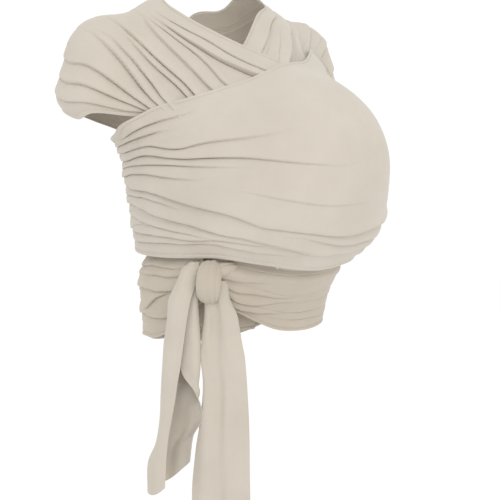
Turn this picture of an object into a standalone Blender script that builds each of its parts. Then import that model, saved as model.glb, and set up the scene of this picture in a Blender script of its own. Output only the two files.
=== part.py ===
"""Baby wrap sling: one long jersey band, tied on a wearer with a front pocket for a baby.

Metres, +Z up. The wearer faces -Y and the wearer's right hand is at -X. The origin is between the tops of the
shoulders that carry the cloth. Each pass of the cloth is one object: an open sheet laid on the wearer's form at
its own level, thickened by Solidify. Lower levels lie inside higher ones, so the passes cross without touching.
"""

import math

import bmesh
import bpy
import numpy as np
from mathutils import Matrix, Vector

# The wearer's outline: at each height, the half width and the reach to the front and to the back.
BODY_HEIGHT = np.array([-0.500, -0.450, -0.400, -0.330, -0.250, -0.170, -0.100, -0.050, 0.000])
BODY_HALF_WIDTH = np.array([0.124, 0.123, 0.131, 0.140, 0.154, 0.158, 0.148, 0.116, 0.060])
BODY_FRONT = np.array([0.128, 0.136, 0.146, 0.162, 0.180, 0.162, 0.120, 0.075, 0.020])
BODY_BACK = np.array([0.104, 0.098, 0.094, 0.096, 0.105, 0.118, 0.118, 0.102, 0.070])
BABY_CENTRE = np.array([0.0, -0.118, -0.236])
BABY_RADII = np.array([0.132, 0.144, 0.132])
BABY_FULLNESS = 2.2
SHOULDER_CENTRE = np.array([0.163, 0.035, -0.103])
SHOULDER_RADII = np.array([0.056, 0.056, 0.072])
SHOULDER_FULLNESS = 2.2
RIDGE_START = np.array([0.030, 0.035, -0.032])
RIDGE_END = np.array([0.160, 0.035, -0.084])
RIDGE_RADIUS = 0.044
BLEND_RIDGE = 0.030
BLEND_SHOULDER = 0.055
BLEND_BABY = 0.060
# Rays that place the cloth start on this line, level with the cloth or at its highest point.
CORE_TOP = -0.200
# Guide points beside the body stand this far out; rays are searched inwards between these reaches.
GUIDE_RADIUS = 0.3
RAY_REACH = (0.45, 0.02)
RAY_SAMPLES = 173
RAY_HALVINGS = 18

# The caps stand out over the upper arms: how far, between which heights, and between which places in y.
FLARE = 0.022
FLARE_TOP = -0.085
FLARE_FULL = -0.145
FLARE_FOOT = (-0.165, -0.185)
FLARE_SIDES = (-0.045, 0.115)
FLARE_FADE = 0.050
FLARE_WIDTH = (0.070, 0.130)

CLOTH = 0.0016
LEVEL = {"inner": -0.0112, "middle": -0.0064, "outer": -0.0016}

# Heights of the pass edges that several pieces share.
HEM_HEIGHT = -0.452
WAIST_TOP = -0.345

KNOT_ANGLE = -45.0
KNOT_HEIGHT = -0.371
KNOT_STAND_OFF = 0.004
BASE_SIZE = (0.050, 0.020, 0.036)
TURN_WIDTH = 0.030
TURN_HALF_HEIGHT = 0.027
TURN_REACH = 0.019
TURN_SHEET = 0.003
TURN_CROWN = 0.25
TURN_SWEEP = 1.45
TURN_CELLS = (4, 10)

# Tails, in the knot's frame: x across, height, half width, half depth of the folded cloth.
TAIL_STAND_OFF = 0.016
RIGHT_HINGE_HEIGHT = -0.350
LEFT_HINGE_HEIGHT = -0.404
RIGHT_KNEE_HEIGHT = -0.500
LEFT_KNEE_HEIGHT = -0.550
RIGHT_END_HEIGHT = -0.636
LEFT_END_HEIGHT = -0.700
HINGE_GAP = 0.0030
KNEE_GAP = 0.0025
TAIL_SHEET = 0.0018
LEFT_TAIL_DEPTH = 0.0050
TAIL_ROWS = 6

FABRIC = (0.66, 0.60, 0.52, 1.0)


def clear_scene():
    for item in list(bpy.data.objects):
        bpy.data.objects.remove(item, do_unlink=True)


def smooth_value(x, places, values):
    """A smooth curve through a few values, flat beyond its ends."""
    slopes = np.gradient(values, places)
    x = np.clip(x, places[0], places[-1])
    i = np.clip(np.searchsorted(places, x) - 1, 0, len(places) - 2)
    step = places[i + 1] - places[i]
    t = (x - places[i]) / step
    start = values[i] * (1 + 2 * t) * (1 - t) ** 2 + slopes[i] * step * t * (1 - t) ** 2
    end = values[i + 1] * t * t * (3 - 2 * t) + slopes[i + 1] * step * t * t * (t - 1)
    return start + end


def rounded_distance(q, radii, power):
    """Near the surface, the distance to a rounded box or ellipsoid of these radii."""
    ratio = np.maximum(np.abs(q) / radii, 1e-6)
    total = np.sum(ratio**power, axis=-1) ** (1 / power)
    slope = ratio ** (power - 1) * total[..., None] ** (1 - power) / radii
    return (total - 1) / np.linalg.norm(slope, axis=-1)


def joined(first, second, width):
    """Smooth union of two distances."""
    h = np.clip(0.5 + 0.5 * (second - first) / width, 0, 1)
    return second * (1 - h) + first * h - width * h * (1 - h)


def form_distance(p):
    """Distance outside the wearer and baby, as wrapped: zero where the outermost cloth lies."""
    z = p[..., 2]
    half = smooth_value(z, BODY_HEIGHT, BODY_HALF_WIDTH)
    front = smooth_value(z, BODY_HEIGHT, BODY_FRONT)
    back = smooth_value(z, BODY_HEIGHT, BODY_BACK)
    flat = np.stack([p[..., 0], p[..., 1] - (back - front) / 2], axis=-1)
    body = rounded_distance(flat, np.stack([half, (back + front) / 2], axis=-1), 2.0)
    mirrored = np.stack([np.abs(p[..., 0]), p[..., 1], z], axis=-1)
    shoulder = rounded_distance(mirrored - SHOULDER_CENTRE, SHOULDER_RADII, SHOULDER_FULLNESS)
    run = RIDGE_END - RIDGE_START
    t = np.clip((mirrored - RIDGE_START) @ run / (run @ run), 0, 1)
    ridge = np.linalg.norm(mirrored - RIDGE_START - t[..., None] * run, axis=-1) - RIDGE_RADIUS
    top = joined(shoulder, ridge, BLEND_RIDGE)
    baby = rounded_distance(p - BABY_CENTRE, BABY_RADII, BABY_FULLNESS)
    return joined(joined(body, baby, BLEND_BABY), top, BLEND_SHOULDER)


def lay_on_form(points, offset):
    """Moves points along rays from the core line to where the form's distance equals the offset."""
    points = np.asarray(points, dtype=float)
    core = np.zeros_like(points)
    core[..., 2] = np.minimum(points[..., 2], CORE_TOP)
    ray = points - core
    ray = ray / np.linalg.norm(ray, axis=-1, keepdims=True)
    reach = np.linspace(*RAY_REACH, RAY_SAMPLES)
    samples = core[..., None, :] + ray[..., None, :] * reach[:, None]
    inside = form_distance(samples) < offset
    first = np.argmax(inside, axis=-1)
    far = reach[np.maximum(first - 1, 0)]
    near = reach[first]
    for _ in range(RAY_HALVINGS):
        middle = (far + near) / 2
        hit = form_distance(core + ray * middle[..., None]) < offset
        near = np.where(hit, middle, near)
        far = np.where(hit, far, middle)
    return core + ray * near[..., None]


def ramp(value, start, end):
    """From 0 at the start to 1 at the end, level at both."""
    t = np.clip((value - start) / (end - start), 0, 1)
    return t * t * (3 - 2 * t)


def flared(points):
    """Moves the points beside the upper arms out sideways."""
    x, y, z = points[..., 0], points[..., 1], points[..., 2]
    height = ramp(z, FLARE_TOP, FLARE_FULL) * ramp(z, FLARE_FOOT[1], FLARE_FOOT[0])
    start, end = FLARE_SIDES
    depth = ramp(y, start, start + FLARE_FADE) * ramp(y, end, end - FLARE_FADE)
    moved = points.copy()
    moved[..., 0] += np.sign(x) * FLARE * height * depth * ramp(np.abs(x), *FLARE_WIDTH)
    return moved


def at(angle, height):
    """A guide point beside the body: angle from the front towards the wearer's left, in degrees."""
    turn = math.radians(angle)
    return (GUIDE_RADIUS * math.sin(turn), -GUIDE_RADIUS * math.cos(turn), height)


def through(points, count):
    """Count + 1 points along a smooth curve through the given ones."""
    points = np.asarray(points, dtype=float)
    padded = np.vstack([2 * points[0] - points[1], points, 2 * points[-1] - points[-2]])
    s = np.linspace(0, len(points) - 1, count + 1)
    i = np.minimum(s.astype(int), len(points) - 2)
    t = (s - i)[:, None]
    a, b, c, d = padded[i], padded[i + 1], padded[i + 2], padded[i + 3]
    return 0.5 * (2 * b + (c - a) * t + (2 * a - 5 * b + 4 * c - d) * t**2 + (3 * b - a - 3 * c + d) * t**3)


def fabric_material(name):
    material = bpy.data.materials.new(name + "_jersey")
    material.use_nodes = True
    shader = material.node_tree.nodes["Principled BSDF"]
    shader.inputs["Base Color"].default_value = FABRIC
    shader.inputs["Roughness"].default_value = 0.9
    shader.inputs["Metallic"].default_value = 0.0
    return material


def sheet_object(name, rows, collection, thickness, outward, offset=1.0, location=(0.0, 0.0, 0.0), turn=0.0):
    """An open sheet through a grid of points, thickened outwards, or both ways with an offset of 0."""
    rows = np.asarray(rows)
    across, along = rows.shape[0] - 1, rows.shape[1] - 1
    mesh = bpy.data.meshes.new(name)
    bm = bmesh.new()
    bmesh.ops.create_grid(bm, x_segments=across, y_segments=along, size=0.5)
    for vertex in bm.verts:
        i = round((vertex.co.x + 0.5) * across)
        j = round((vertex.co.y + 0.5) * along)
        vertex.co = rows[i, j]
    bm.normal_update()
    facing = sum(face.normal.dot(outward(face.calc_center_median())) for face in bm.faces)
    if facing < 0:
        bmesh.ops.reverse_faces(bm, faces=bm.faces)
    bm.to_mesh(mesh)
    bm.free()
    mesh.shade_smooth()
    piece = bpy.data.objects.new(name, mesh)
    piece.location = location
    piece.rotation_euler = (0.0, 0.0, turn)
    solid = piece.modifiers.new("cloth", "SOLIDIFY")
    solid.thickness = thickness
    solid.offset = offset
    solid.use_even_offset = True
    mesh.materials.append(fabric_material(name))
    collection.objects.link(piece)
    return piece


def away_from_core(point):
    """Outwards, from the core line to a point on the body."""
    return point - Vector((0.0, 0.0, min(point.z, CORE_TOP)))


def away_from_cross_line(point):
    """Outwards, from a line along x through the piece's origin."""
    return Vector((0.0, point.y, point.z))


def to_the_front(point):
    """Straight out of the body, in the knot's frame."""
    return Vector((0.0, -1.0, 0.0))


def cloth_pass(name, level, first_edge, second_edge, cells, collection, over_arm=False):
    """One pass of the cloth between two edges, laid on the form at its level."""
    offset = LEVEL[level]
    along, across = cells
    first = through(lay_on_form(first_edge, offset), along)
    second = through(lay_on_form(second_edge, offset), along)
    share = np.linspace(0, 1, across + 1)[None, :, None]
    grid = first[:, None, :] * (1 - share) + second[:, None, :] * share
    laid = lay_on_form(grid, offset)
    if over_arm:
        laid = flared(laid)
    return sheet_object(name, laid, collection, CLOTH, away_from_core)


def mirrored(edge):
    return [(-x, y, z) for x, y, z in edge]


def build_front_panel(collection):
    """Across the baby, pulled higher over the wearer's left shoulder than under the right arm."""
    angles = [-89, -72, -55, -40, -25, -3, 14, 32, 50, 64, 76, 84, 89]
    top_heights = [-0.161, -0.109, -0.084, -0.061, -0.034, 0.031, 0.052, 0.093, 0.115, 0.110, 0.055, -0.100, -0.165]
    foot_heights = [-0.338, -0.338, -0.336, -0.334, -0.340, -0.350, -0.344, -0.342, -0.340, -0.338, -0.338, -0.338]
    foot_heights += [-0.338]
    top = [at(angle, height) for angle, height in zip(angles, top_heights)]
    bottom = [at(angle, height) for angle, height in zip(angles, foot_heights)]
    cloth_pass("front_panel", "outer", top, bottom, (36, 14), collection, True)


def build_side_gathers(collection):
    for side, name in ((-1, "right_side_gather"), (1, "left_side_gather")):
        upper = [at(side * 90, -0.176), at(side * 106, -0.184), at(side * 122, -0.186)]
        lower = [at(side * 90, -0.338), at(side * 106, -0.336), at(side * 122, -0.330)]
        cloth_pass(name, "outer", upper, lower, (5, 5), collection)


def build_back_passes(collection):
    """From under one arm, up across the back, to the other shoulder."""
    upper = [at(-123, -0.186), at(-150, -0.130), at(-170, -0.055), (0.010, 0.092, -0.024), (0.064, 0.080, -0.006)]
    lower = [at(-123, -0.330), at(-152, -0.318), at(178, -0.285), (0.110, 0.110, -0.215), (0.196, 0.086, -0.150)]
    cloth_pass("back_pass_to_left", "inner", upper, lower, (14, 6), collection, True)
    cloth_pass("back_pass_to_right", "middle", mirrored(upper), mirrored(lower), (14, 6), collection, True)


def build_shoulder_caps(collection):
    """Over the shoulder, from the back pass to the chest strap, spread to the upper arm."""
    left_neck_edge = [(0.064, 0.078, -0.005), (0.066, 0.036, 0.010), (0.072, -0.006, -0.006)]
    right_neck_edge = [(-0.064, 0.078, -0.005), (-0.078, 0.036, 0.002), (-0.088, -0.006, -0.019)]
    arm_edge = [(0.198, 0.084, -0.150), (0.225, 0.034, -0.156), (0.196, -0.012, -0.150)]
    cloth_pass("left_shoulder_cap", "middle", left_neck_edge, arm_edge, (9, 11), collection, True)
    cloth_pass("right_shoulder_cap", "middle", right_neck_edge, mirrored(arm_edge), (9, 11), collection, True)


def build_chest_straps(collection):
    """From the shoulder, under the front panel and across the baby, to the opposite hip."""
    left_upper = [(0.0725, -0.008, -0.008), (0.030, -0.038, -0.026), (-0.030, -0.082, -0.066), at(-46, -0.130)]
    left_upper += [at(-60, -0.225), at(-76, -0.290), at(-90, WAIST_TOP)]
    right_upper = [(-0.0885, -0.008, -0.0195), (-0.060, -0.062, -0.052), (-0.006, -0.112, -0.089), at(28, -0.150)]
    right_upper += [at(52, -0.225), at(72, -0.290), at(90, WAIST_TOP)]
    lower = [(0.194, -0.014, -0.150), (0.150, -0.070, -0.172), at(48, -0.225)]
    lower += [at(22, -0.325), at(-8, -0.415), at(-45, -0.444), at(-88, HEM_HEIGHT + 0.004)]
    cloth_pass("left_chest_strap", "inner", left_upper, lower, (30, 10), collection, True)
    cloth_pass("right_chest_strap", "middle", right_upper, mirrored(lower), (30, 10), collection, True)


def build_waist_passes(collection):
    """Each end goes on round the back of the waist, and forward again to the knot."""
    round_back = [92, 112, 134, 156, 180, 204, 226, 248, 268]
    upper = [at(angle, WAIST_TOP) for angle in round_back]
    lower = [at(angle, HEM_HEIGHT) for angle in round_back]
    cloth_pass("waist_back_inner", "inner", upper, lower, (16, 4), collection)
    cloth_pass("waist_back_outer", "middle", upper, lower, (16, 4), collection)
    upper = [at(-100, WAIST_TOP), at(-84, WAIST_TOP), at(-68, -0.350), at(-60, -0.356)]
    lower = [at(-100, HEM_HEIGHT), at(-84, HEM_HEIGHT + 0.002), at(-68, -0.425), at(-60, -0.392)]
    cloth_pass("waist_front_right", "outer", upper, lower, (6, 5), collection)
    upper = [at(100, WAIST_TOP), at(70, WAIST_TOP - 0.003), at(40, -0.354), at(5, -0.358), at(-18, -0.352)]
    upper += [at(-31, -0.356)]
    lower = [at(100, HEM_HEIGHT), at(70, -0.442), at(40, -0.434), at(5, -0.436), at(-18, -0.420), at(-31, -0.390)]
    cloth_pass("waist_front_left", "outer", upper, lower, (15, 5), collection)


def beside_knot(stand_off):
    """A point out from the cloth, level with the knot's middle."""
    turn = math.radians(KNOT_ANGLE)
    outward = np.array([math.sin(turn), -math.cos(turn), 0.0])
    return lay_on_form([at(KNOT_ANGLE, KNOT_HEIGHT)], 0.0)[0] + outward * stand_off


def build_knot(collection):
    """A soft lump of crossed cloth, and the turn of cloth drawn tight over it."""
    turn = math.radians(KNOT_ANGLE)
    centre = beside_knot(KNOT_STAND_OFF + BASE_SIZE[1] / 2)
    bpy.ops.mesh.primitive_cube_add(size=1.0, location=centre, rotation=(0.0, 0.0, turn))
    base = bpy.context.object
    base.name = "knot_base"
    base.data.transform(Matrix.Diagonal((*BASE_SIZE, 1.0)))
    for owner in list(base.users_collection):
        owner.objects.unlink(base)
    collection.objects.link(base)
    soft = base.modifiers.new("soft", "SUBSURF")
    soft.levels = 2
    soft.render_levels = 2
    base.data.shade_smooth()
    base.data.materials.append(fabric_material("knot_base"))

    rows = []
    for side in np.linspace(-1, 1, TURN_CELLS[0] + 1):
        reach = TURN_REACH * (1 - TURN_CROWN * side**2)
        arc = np.linspace(-TURN_SWEEP, TURN_SWEEP, TURN_CELLS[1] + 1)
        row = [(side * TURN_WIDTH / 2, -reach * math.cos(a), TURN_HALF_HEIGHT * math.sin(a)) for a in arc]
        rows.append(row)
    sheet_object("knot_turn", rows, collection, TURN_SHEET, away_from_cross_line, location=centre, turn=turn)


def tail_rows(top, bottom, middle, half_width, half_depth, section):
    """Cross-sections from the top of a tail's length to its bottom, in the frame of its hinge."""
    columns = []
    for share in np.linspace(0, 1, TAIL_ROWS + 1):
        height = top + (bottom - top) * share
        centre = middle[0] + (middle[1] - middle[0]) * share
        width = half_width[0] + (half_width[1] - half_width[0]) * share
        depth = half_depth[0] + (half_depth[1] - half_depth[0]) * share
        columns.append([(centre + width * x, depth * y, height) for x, y in section])
    return np.array(columns)


def flat_section():
    """A band that is slightly crowned to the front."""
    return [(x, 0.5 * x * x - 0.25) for x in np.linspace(-1, 1, 7)]


def folded_section():
    """A band folded lengthwise, open on the side of the other tail."""
    front = [(x, -1.0) for x in (1.0, 0.45, -0.1)]
    fold = [(-0.6 - 0.4 * math.sin(a), -math.cos(a)) for a in np.linspace(0.35, math.pi - 0.35, 4)]
    return front + fold + [(x, -y) for x, y in reversed(front)]


def build_tails(collection):
    """Each tail hangs from the knot on one hinge line, and bends again at its knee."""
    turn = math.radians(KNOT_ANGLE)
    plane = beside_knot(TAIL_STAND_OFF)
    for name, height, drop, middle, width, depth, section, thickness in TAIL_LENGTHS:
        hinge = (plane[0], plane[1], height)
        gap = HINGE_GAP if name in HUNG_FROM_KNOT else KNEE_GAP
        rows = tail_rows(-gap, drop, middle, width, depth, section())
        sheet_object(name, rows, collection, thickness, to_the_front, offset=0.0, location=hinge, turn=turn)


HUNG_FROM_KNOT = ("right_tail_upper", "left_tail_upper")
# Name, hinge height, lowest point below it, then at the top and the bottom the middle, half width and half depth
# in the knot's frame, the cross-section and the sheet's thickness.
TAIL_LENGTHS = (
    ("right_tail_upper", RIGHT_HINGE_HEIGHT, RIGHT_KNEE_HEIGHT - RIGHT_HINGE_HEIGHT + KNEE_GAP,
     (-0.031, -0.041), (0.009, 0.021), (0.0026, 0.0030), folded_section, TAIL_SHEET),
    ("right_tail_lower", RIGHT_KNEE_HEIGHT, RIGHT_END_HEIGHT - RIGHT_KNEE_HEIGHT,
     (-0.041, -0.050), (0.021, 0.027), (0.0030, 0.0100), folded_section, TAIL_SHEET),
    ("left_tail_upper", LEFT_HINGE_HEIGHT, LEFT_KNEE_HEIGHT - LEFT_HINGE_HEIGHT + KNEE_GAP,
     (0.006, 0.014), (0.013, 0.029), (0.0040, 0.0060), flat_section, LEFT_TAIL_DEPTH),
    ("left_tail_lower", LEFT_KNEE_HEIGHT, LEFT_END_HEIGHT - LEFT_KNEE_HEIGHT,
     (0.014, 0.016), (0.029, 0.034), (0.0060, 0.0080), flat_section, LEFT_TAIL_DEPTH),
)


def main():
    clear_scene()
    sling = bpy.data.collections.new("baby_wrap_sling")
    bpy.context.scene.collection.children.link(sling)
    build_front_panel(sling)
    build_side_gathers(sling)
    build_back_passes(sling)
    build_shoulder_caps(sling)
    build_chest_straps(sling)
    build_waist_passes(sling)
    build_knot(sling)
    build_tails(sling)


main()
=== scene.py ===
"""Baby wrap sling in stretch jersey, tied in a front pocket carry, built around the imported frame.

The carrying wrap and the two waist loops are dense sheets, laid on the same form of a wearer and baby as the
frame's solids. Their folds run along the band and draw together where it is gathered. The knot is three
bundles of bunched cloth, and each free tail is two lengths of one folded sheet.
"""

import math

import bpy
import numpy as np
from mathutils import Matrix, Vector


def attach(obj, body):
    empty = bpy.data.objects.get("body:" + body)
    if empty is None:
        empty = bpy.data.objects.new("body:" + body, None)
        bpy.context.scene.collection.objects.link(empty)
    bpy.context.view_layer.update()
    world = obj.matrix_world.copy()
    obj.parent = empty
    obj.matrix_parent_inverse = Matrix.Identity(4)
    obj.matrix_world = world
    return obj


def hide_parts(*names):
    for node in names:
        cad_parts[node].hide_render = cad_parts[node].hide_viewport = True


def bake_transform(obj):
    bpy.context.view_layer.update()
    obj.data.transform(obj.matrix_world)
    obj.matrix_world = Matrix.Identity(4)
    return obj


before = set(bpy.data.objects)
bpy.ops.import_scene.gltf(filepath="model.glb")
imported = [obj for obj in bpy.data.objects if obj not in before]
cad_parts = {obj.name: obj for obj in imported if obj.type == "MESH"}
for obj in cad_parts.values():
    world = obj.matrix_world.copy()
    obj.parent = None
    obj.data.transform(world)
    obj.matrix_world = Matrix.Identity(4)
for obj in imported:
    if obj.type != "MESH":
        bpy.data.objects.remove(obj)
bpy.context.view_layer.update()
COARSE = 1

# ------------ the wearer's form
# The body's half width, and its reach to the front and to the back, at a few heights.
BODY_HEIGHT = np.array([-0.5, -0.45, -0.4, -0.33, -0.25, -0.17, -0.1, -0.05, 0.000])
BODY_HALF_WIDTH = np.array([0.124, 0.123, 0.131, 0.14, 0.154, 0.158, 0.148, 0.116, 0.06])
BODY_FRONT = np.array([0.128, 0.136, 0.146, 0.162, 0.18, 0.162, 0.12, 0.075, 0.02])
BODY_BACK = np.array([0.104, 0.098, 0.094, 0.096, 0.105, 0.118, 0.118, 0.102, 0.07])
BODY_FULLNESS = 2.0
BABY_CENTRE = np.array([0.0, -0.118, -0.236])
BABY_RADII = np.array([0.132, 0.144, 0.132])
BABY_FULLNESS = 2.2
# One shoulder, and the ridge from it to the neck. Both sides are alike.
SHOULDER_CENTRE = np.array([0.163, 0.035, -0.103])
SHOULDER_RADII = np.array([0.056, 0.056, 0.072])
SHOULDER_FULLNESS = 2.2
RIDGE_START = np.array([0.03, 0.035, -0.032])
RIDGE_END = np.array([0.16, 0.035, -0.084])
RIDGE_RADIUS = 0.044
# How widely these shapes melt together, and the highest point from which rays are sent out.
BLEND_RIDGE = 0.03
BLEND_SHOULDER = 0.055
BLEND_BABY = 0.06
CORE_TOP = -0.2
# How far the cloth stands out beside the upper arms, and at which heights, depths and widths.
FLARE = 0.022
FLARE_TOP = -0.085
FLARE_FULL = -0.145
FLARE_FOOT = (-0.165, -0.185)
FLARE_SIDES = (-0.045, 0.115)
FLARE_FADE = 0.05
FLARE_ACROSS = (0.07, 0.13)
HEM_HEIGHT = -0.452
WAIST_TOP = -0.345
KNOT_ANGLE = -45.0
KNOT_HEIGHT = -0.371
# Guide points beside the body start this far from its axis, and are drawn in to the form.
GUIDE_RADIUS = 0.3
# The search along a ray: its limits, the reaches tried from the outside in, their spacing, and the halvings.
RAY_LIMITS = (0.02, 0.45)
RAY_REACHES = np.linspace(0.43, 0.03, 41)
RAY_SPACING = 0.01
RAY_HALVINGS = 16
# How finely a curve through points is walked to measure its length.
STEPS_PER_POINT = 40


def smooth_value(x, places, values):
    """A smooth curve through a few values, flat beyond its ends."""
    places, values = np.asarray(places, float), np.asarray(values, float)
    slopes = np.gradient(values, places)
    x = np.clip(x, places[0], places[-1])
    i = np.clip(np.searchsorted(places, x) - 1, 0, len(places) - 2)
    step = places[i + 1] - places[i]
    t = (x - places[i]) / step
    start = values[i] * (1 + 2 * t) * (1 - t) ** 2 + slopes[i] * step * t * (1 - t) ** 2
    end = values[i + 1] * t * t * (3 - 2 * t) + slopes[i + 1] * step * t * t * (t - 1)
    return start + end


def rounded_distance(from_centre, radii, power):
    """Roughly the distance outside a rounded body with the given radii. A higher power is fuller."""
    ratio = np.maximum(np.abs(from_centre) / radii, 1e-6)
    total = np.sum(ratio**power, axis=-1) ** (1 / power)
    slope = ratio ** (power - 1) * total[..., None] ** (1 - power) / radii
    return (total - 1) / np.linalg.norm(slope, axis=-1)


def joined(first, second, width):
    """The smaller of two distances, with a smooth join of the given width."""
    mix = np.clip(0.5 + 0.5 * (second - first) / width, 0, 1)
    return second * (1 - mix) + first * mix - width * mix * (1 - mix)


def form_distance(points):
    """Distance outside the wearer and baby, as wrapped: zero where the outermost cloth lies."""
    side, depth, height = points[..., 0], points[..., 1], points[..., 2]
    half = smooth_value(height, BODY_HEIGHT, BODY_HALF_WIDTH)
    front = smooth_value(height, BODY_HEIGHT, BODY_FRONT)
    back = smooth_value(height, BODY_HEIGHT, BODY_BACK)
    flat = np.stack([side, depth - (back - front) / 2], axis=-1)
    body = rounded_distance(flat, np.stack([half, (back + front) / 2], axis=-1), BODY_FULLNESS)
    either_side = np.stack([np.abs(side), depth, height], axis=-1)
    shoulder = rounded_distance(either_side - SHOULDER_CENTRE, SHOULDER_RADII, SHOULDER_FULLNESS)
    run = RIDGE_END - RIDGE_START
    part = np.clip((either_side - RIDGE_START) @ run / (run @ run), 0, 1)
    ridge = np.linalg.norm(either_side - RIDGE_START - part[..., None] * run, axis=-1) - RIDGE_RADIUS
    top = joined(shoulder, ridge, BLEND_RIDGE)
    baby = rounded_distance(points - BABY_CENTRE, BABY_RADII, BABY_FULLNESS)
    return joined(joined(body, baby, BLEND_BABY), top, BLEND_SHOULDER)


def lay_on_form(points, offset):
    """Moves points along rays from the core line to where the form's distance equals the offset."""
    points = np.asarray(points, dtype=float)
    offset = np.broadcast_to(offset, points.shape[:-1])
    core = np.zeros_like(points)
    core[..., 2] = np.minimum(points[..., 2], CORE_TOP)
    ray = points - core
    ray = ray / np.linalg.norm(ray, axis=-1, keepdims=True)
    near = np.full(points.shape[:-1], RAY_LIMITS[0])
    far = np.full(points.shape[:-1], RAY_LIMITS[1])
    found = np.zeros(points.shape[:-1], bool)
    for reach in RAY_REACHES:
        hit = (form_distance(core + ray * reach) < offset) & ~found
        near = np.where(hit, reach, near)
        far = np.where(hit, reach + RAY_SPACING, far)
        found |= hit
    for _ in range(RAY_HALVINGS):
        middle = (far + near) / 2
        hit = form_distance(core + ray * middle[..., None]) < offset
        near = np.where(hit, middle, near)
        far = np.where(hit, far, middle)
    return core + ray * near[..., None]


def ramp(value, start, end):
    """From 0 at the start to 1 at the end, level at both."""
    t = np.clip((value - start) / (end - start), 0, 1)
    return t * t * (3 - 2 * t)


def ramp_down(value, start, end):
    """From 1 at the start to 0 at the end, level at both."""
    return 1 - ramp(value, start, end)


def bell(value, centre, width):
    """1 at the centre, falling smoothly to nearly 0 two widths away."""
    return np.exp(-(((value - centre) / width) ** 2))


def flared(points):
    """Moves the points beside the upper arms out sideways."""
    x, y, z = points[..., 0], points[..., 1], points[..., 2]
    height = ramp(z, FLARE_TOP, FLARE_FULL) * ramp(z, FLARE_FOOT[1], FLARE_FOOT[0])
    start, end = FLARE_SIDES
    depth = ramp(y, start, start + FLARE_FADE) * ramp(y, end, end - FLARE_FADE)
    moved = points.copy()
    moved[..., 0] += np.sign(x) * FLARE * height * depth * ramp(np.abs(x), *FLARE_ACROSS)
    return moved


def at(angle, height):
    """A guide point beside the body: angle from the front towards the wearer's left, in degrees."""
    turn = math.radians(angle)
    return (GUIDE_RADIUS * math.sin(turn), -GUIDE_RADIUS * math.cos(turn), height)


def through(points, places):
    """Points along a smooth curve through the given ones, at places counted in points."""
    points = np.asarray(points, dtype=float)
    if points.ndim == 1:
        points = points[:, None]
    padded = np.vstack([2 * points[0] - points[1], points, 2 * points[-1] - points[-2]])
    places = np.clip(places, 0, len(points) - 1)
    index = np.minimum(places.astype(int), len(points) - 2)
    part = (places - index)[:, None]
    before, start, end, after = (padded[index + step] for step in range(4))
    square = 2 * before - 5 * start + 4 * end - after
    cube = 3 * start - before - 3 * end + after
    return 0.5 * (2 * start + (end - before) * part + square * part**2 + cube * part**3)


def even_places(points, count):
    """Places along the points, evenly spaced by distance, and the whole distance."""
    fine = np.linspace(0, len(points) - 1, STEPS_PER_POINT * len(points))
    walk = through(points, fine)
    steps = np.concatenate([[0], np.cumsum(np.linalg.norm(np.diff(walk, axis=0), axis=1))])
    return np.interp(np.linspace(0, steps[-1], count + 1), steps, fine), steps[-1]


# ------------ folds
class Ripples:
    """Smooth seeded noise on two coordinates, for the small wandering of folds."""

    def __init__(self, seed, waves=7):
        rng = np.random.default_rng(seed)
        turn = rng.uniform(-0.5, 0.5, waves)
        self.u = np.cos(turn) * rng.uniform(0.5, 1.6, waves)
        self.v = np.sin(turn) + rng.uniform(-1.2, 1.2, waves)
        self.phase = rng.uniform(0, 2 * math.pi, waves)
        self.size = rng.uniform(0.5, 1.0, waves) / math.sqrt(waves)

    def __call__(self, along, across):
        total = 0.0
        for u, v, phase, size in zip(self.u, self.v, self.phase, self.size):
            total = total + size * np.sin(2 * math.pi * (u * along + v * across) + phase)
        return total


# A fold drifts across the band by a share of its width, and fades out over half a station beyond its ends.
# The rest counts in shares of its height, and in its tight width, from the lip downwards.
FOLD_DRIFT = 0.004
FOLD_FADE = 0.5
DROP_FROM, DROP_TO = -0.15, 0.55
CREASE_DEPTH, CREASE_PLACE, CREASE_WIDTH = 0.5, 0.75, 0.6
DIP_DEPTH = 0.22
LIP_OVERHANG, LIP_PLACE, LIP_WIDTH = 0.8, -0.3, 0.75


class Folds:
    """Folds and hollows that run along a band, each a line of (place, share across, height or depth in mm).

    A fold rises gently to its lip, hangs over a little, and drops into a crease on the lower side. Its soft
    width is that of the rise, and its tight one that of the drop, in mm. A hollow only dips."""

    def __init__(self, seed):
        self.lines = []
        self.hollows = []
        self.wander = Ripples(seed)

    def add(self, line, soft=12.0, tight=4.0):
        self.lines.append((np.array(line, float), soft / 1000, tight / 1000))

    def add_hollow(self, line, soft):
        self.hollows.append((np.array(line, float), soft / 1000))

    def relief(self, place, share, width):
        """Height and sideways overhang, in metres. place and width vary along the band, share across it."""
        height = np.zeros(np.broadcast(place, share).shape)
        over = np.zeros_like(height)
        for number, (line, soft, tight) in enumerate(self.lines):
            lip = smooth_value(place, line[:, 0], line[:, 1])
            lip = lip + FOLD_DRIFT * self.wander(place * 0.55, 0.37 * number)
            tall = smooth_value(place, line[:, 0], line[:, 2]) / 1000
            start, end = line[0, 0], line[-1, 0]
            ends = ramp(place, start - FOLD_FADE, start) * ramp_down(place, end, end + FOLD_FADE)
            tall = tall * ends
            across = (share - lip) * width
            drop = ramp_down(across, DROP_FROM * tight, DROP_TO * tight)
            rise = bell(np.minimum(across, 0), 0, soft) * drop
            crease = CREASE_DEPTH * bell(across, CREASE_PLACE * tight, CREASE_WIDTH * tight)
            crease = crease + DIP_DEPTH * ramp(across, 0.0, tight) * bell(np.maximum(across, 0), 0, soft)
            height += tall * (rise - crease)
            over += LIP_OVERHANG * tall * bell(across, LIP_PLACE * tight, LIP_WIDTH * tight)
        for line, soft in self.hollows:
            middle = smooth_value(place, line[:, 0], line[:, 1])
            depth = smooth_value(place, line[:, 0], line[:, 2]) / 1000
            height -= depth * bell((share - middle) * width, 0, soft)
        return height, over


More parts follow.
